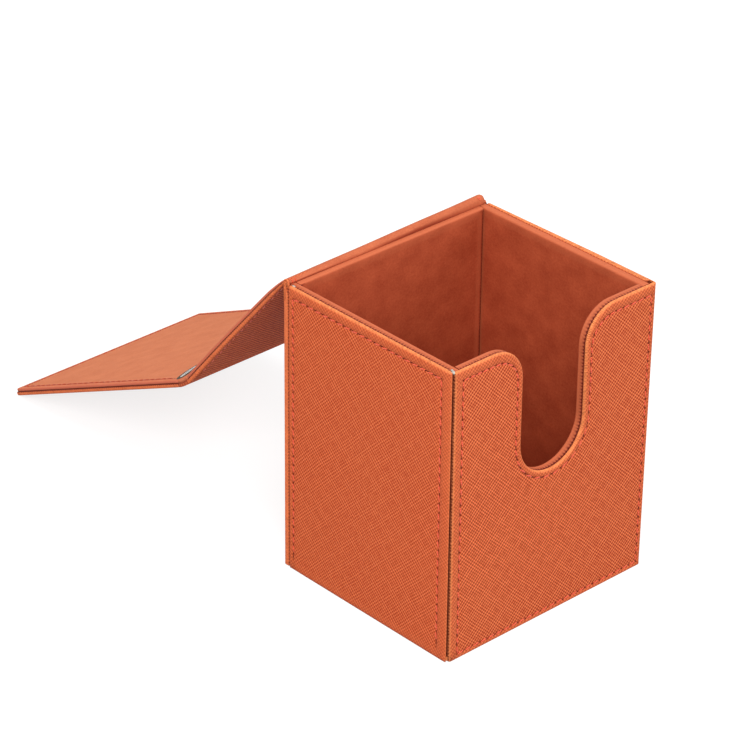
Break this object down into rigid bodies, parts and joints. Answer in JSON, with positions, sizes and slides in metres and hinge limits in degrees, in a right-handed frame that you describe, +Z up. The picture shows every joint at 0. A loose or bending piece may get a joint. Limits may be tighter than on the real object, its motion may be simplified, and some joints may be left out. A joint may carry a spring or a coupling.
{
  "type": "photo storage box",
  "caption": "Upright open-topped storage box with a thumb notch in its front wall and a lid strip, lid and front flap, hinged along the back.",
  "frame": {"origin": "middle of the box's base, on the table; the opened lid strip lies behind the box", "axes": "+X to the right across the front, +Y from the notched front wall to the back, +Z up"},
  "size_m": [0.092, 0.2359, 0.1134],
  "materials": {
    "grained_leatherette": "satin, fine cross grain, stitched near the edges",
    "smooth_lining": "smooth satin leatherette",
    "greyboard": "matt",
    "steel_plate": "plain",
    "magnet": "plated"
  },
  "bodies": {
    "box": {"front_cover": "grained_leatherette", "left_cover": "grained_leatherette", "right_cover": "grained_leatherette", "back_cover": "grained_leatherette", "base_cover": "grained_leatherette", "rear_hinge_leather": "grained_leatherette", "front_lining": "smooth_lining", "back_lining": "smooth_lining", "left_lining": "smooth_lining", "right_lining": "smooth_lining", "floor_lining": "smooth_lining", "rear_hinge_lining": "smooth_lining", "front_board": "greyboard", "left_board": "greyboard", "right_board": "greyboard", "back_board": "greyboard", "base_board": "greyboard", "front_card": "greyboard", "back_card": "greyboard", "left_card": "greyboard", "right_card": "greyboard", "floor_card": "greyboard", "front_plate_left": "steel_plate", "front_plate_right": "steel_plate"},
    "lid": {"lid_cover": "grained_leatherette", "lid_board": "greyboard", "lid_lining": "smooth_lining", "fold_leather": "grained_leatherette", "fold_lining": "smooth_lining"},
    "flap": {"flap_cover": "grained_leatherette", "flap_board": "greyboard", "flap_lining": "smooth_lining", "flap_magnet_left": "magnet", "flap_magnet_right": "magnet"}
  },
  "joints": [
    {"name": "lid_hinge", "type": "hinge", "parent": "box", "child": "lid", "pos_m": [0, 0.0411, 0.1125], "axis": [1, 0, 0], "range_deg": [0, 230.2], "deforming": ["rear_hinge_leather", "rear_hinge_lining"]},
    {"name": "flap_hinge", "type": "hinge", "parent": "lid", "child": "flap", "pos_m": [0, 0.09495, 0.04732], "axis": [1, 0, 0], "range_deg": [-25.2, 64.8], "deforming": ["fold_leather", "fold_lining"]}
  ]
}
